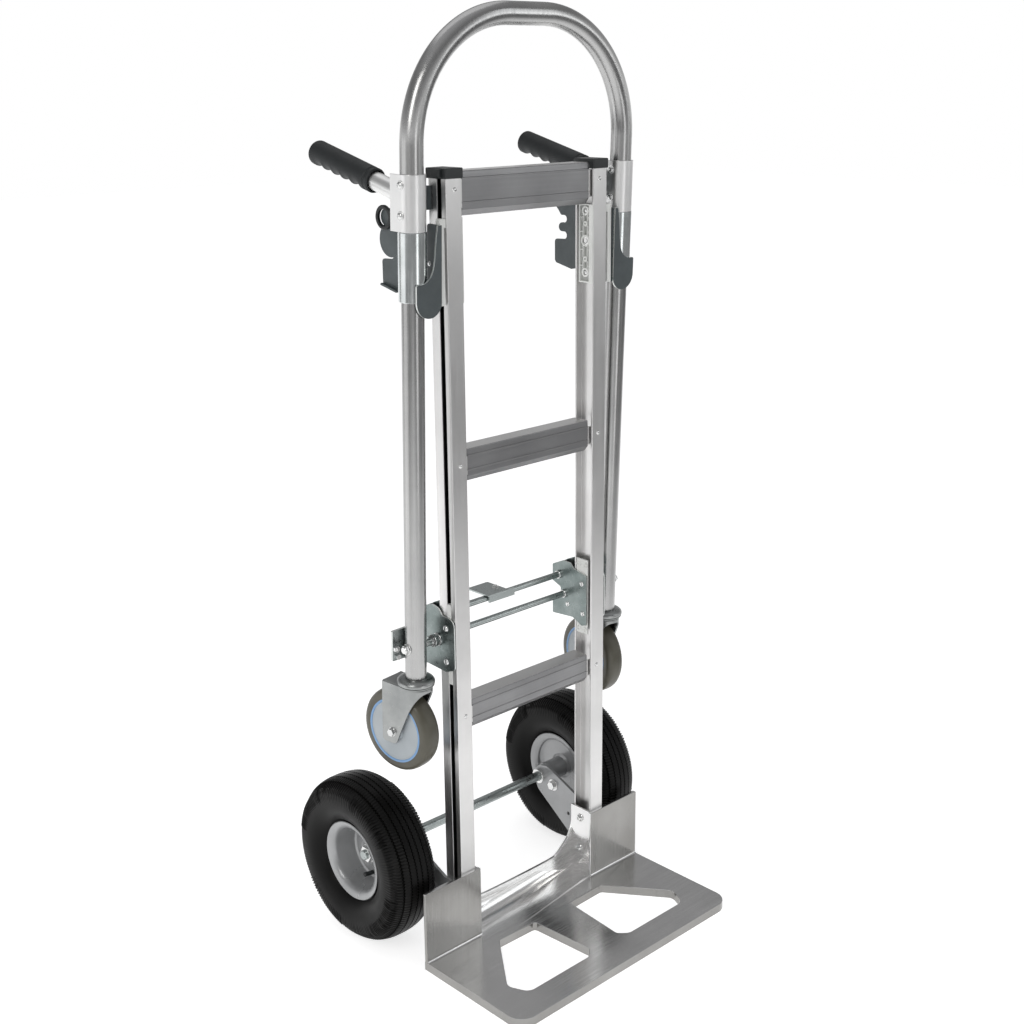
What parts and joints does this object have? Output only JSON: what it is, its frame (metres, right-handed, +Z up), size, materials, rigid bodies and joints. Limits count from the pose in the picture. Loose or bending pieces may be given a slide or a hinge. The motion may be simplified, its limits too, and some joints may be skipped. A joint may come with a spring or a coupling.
{
  "type": "convertible hand truck",
  "caption": "Aluminium hand truck whose loop handle on swivel casters slides up the rails and swings forward to make a rolling platform.",
  "frame": {"origin": "on the floor plane, midway between the rails, in the plane of the rails' front faces, on the underside of the nose plate", "axes": "+Z up along the rails, -Y towards the load side (the nose plate points that way), +Y towards the operator, +X to the right when seen from the load side"},
  "size_m": [0.5232, 0.4832, 1.369],
  "materials": {
    "brushed_aluminium": "brushed extruded aluminium",
    "mill_aluminium": "darker mill-finish aluminium",
    "polished_aluminium": "polished cast aluminium",
    "zinc_plate": "blue-white zinc-plated steel",
    "dark_steel": "dark grey satin paint",
    "bright_steel": "bright plated steel",
    "black_plastic": "satin black",
    "nylon": "white moulded nylon",
    "grip_rubber": "matt black",
    "tyre_rubber": "matt black",
    "grey_paint": "satin grey paint",
    "caster_rubber": "grey-brown moulded tread",
    "caster_hub": "pale grey-blue moulded hub"
  },
  "bodies": {
    "truck_frame": {"left_rail": "brushed_aluminium", "left_rail_cap": "black_plastic", "left_axle_bracket": "grey_paint", "left_nose_bolt": "bright_steel", "left_axle_nut": "bright_steel", "left_inner_guide_pad": "nylon", "left_outer_guide_block": "nylon", "left_latch_plate": "dark_steel", "left_bumper": "black_plastic", "right_rail": "brushed_aluminium", "right_rail_cap": "black_plastic", "right_axle_bracket": "grey_paint", "right_nose_bolt": "bright_steel", "right_axle_nut": "bright_steel", "right_inner_guide_pad": "nylon", "right_outer_guide_block": "nylon", "right_latch_plate": "dark_steel", "right_bumper": "black_plastic", "lower_crossbar": "mill_aluminium", "middle_crossbar": "mill_aluminium", "top_crossbar": "mill_aluminium", "nose_plate": "polished_aluminium", "axle": "zinc_plate"},
    "carriage": {"left_hinge_bracket": "zinc_plate", "left_inner_slider": "nylon", "left_outer_slider": "nylon", "left_pivot_stud": "bright_steel", "right_hinge_bracket": "zinc_plate", "right_inner_slider": "nylon", "right_outer_slider": "nylon", "right_pivot_stud": "bright_steel", "lower_rod": "zinc_plate"},
    "release": {"release_rod": "zinc_plate", "release_pedal": "zinc_plate", "pedal_bolt": "bright_steel"},
    "handle_frame": {"handle_tube": "brushed_aluminium", "left_handle_bracket": "brushed_aluminium", "left_grip_tube": "brushed_aluminium", "left_grip": "grip_rubber", "left_sleeve": "zinc_plate", "left_hook_plate": "dark_steel", "left_pivot_block": "zinc_plate", "left_caster_raceway": "zinc_plate", "right_handle_bracket": "brushed_aluminium", "right_grip_tube": "brushed_aluminium", "right_grip": "grip_rubber", "right_sleeve": "zinc_plate", "right_hook_plate": "dark_steel", "right_pivot_block": "zinc_plate", "right_caster_raceway": "zinc_plate"},
    "left_caster": {"left_caster_fork": "zinc_plate"},
    "left_caster_wheel": {"left_caster_tread": "caster_rubber", "left_caster_hub": "caster_hub"},
    "left_main_wheel": {"left_tyre": "tyre_rubber", "left_rim": "grey_paint"},
    "right_caster": {"right_caster_fork": "zinc_plate"},
    "right_caster_wheel": {"right_caster_tread": "caster_rubber", "right_caster_hub": "caster_hub"},
    "right_main_wheel": {"right_tyre": "tyre_rubber", "right_rim": "grey_paint"}
  },
  "joints": [
    {"name": "carriage_slide", "type": "slide", "parent": "truck_frame", "child": "carriage", "axis": [0, 0, 1], "range_m": [0, 0.546]},
    {"name": "pedal_turn", "type": "hinge", "parent": "carriage", "child": "release", "pos_m": [0, 0.068, 0.5195], "axis": [-1, 0, 0], "range_deg": [0, 25], "stiffness_Nm_per_rad": 0.3, "springref_deg": -17.19},
    {"name": "handle_tilt", "type": "hinge", "parent": "carriage", "child": "handle_frame", "pos_m": [0, 0.037, 0.497], "axis": [1, 0, 0], "range_deg": [0, 88]},
    {"name": "left_caster_swivel", "type": "hinge", "parent": "handle_frame", "child": "left_caster", "pos_m": [-0.197, 0.037, 0.497], "axis": [0, -0.0343, 0.9994], "range_deg": [-7, 172]},
    {"name": "right_caster_swivel", "type": "hinge", "parent": "handle_frame", "child": "right_caster", "pos_m": [0.197, 0.037, 0.497], "axis": [0, -0.0343, 0.9994], "range_deg": [-172, 7]},
    {"name": "left_caster_spin", "type": "hinge", "parent": "left_caster", "child": "left_caster_wheel", "pos_m": [-0.20082, 0.06987, 0.36255], "axis": [0.991, 0.1339, 0.0046], "continuous": true},
    {"name": "right_caster_spin", "type": "hinge", "parent": "right_caster", "child": "right_caster_wheel", "pos_m": [0.20082, 0.06987, 0.36255], "axis": [0.991, -0.1339, -0.0046], "continuous": true},
    {"name": "left_wheel_spin", "type": "hinge", "parent": "truck_frame", "child": "left_main_wheel", "pos_m": [-0.2194, 0.1452, 0.13], "axis": [1, 0, 0], "continuous": true},
    {"name": "right_wheel_spin", "type": "hinge", "parent": "truck_frame", "child": "right_main_wheel", "pos_m": [0.2194, 0.1452, 0.13], "axis": [1, 0, 0], "continuous": true}
  ]
}
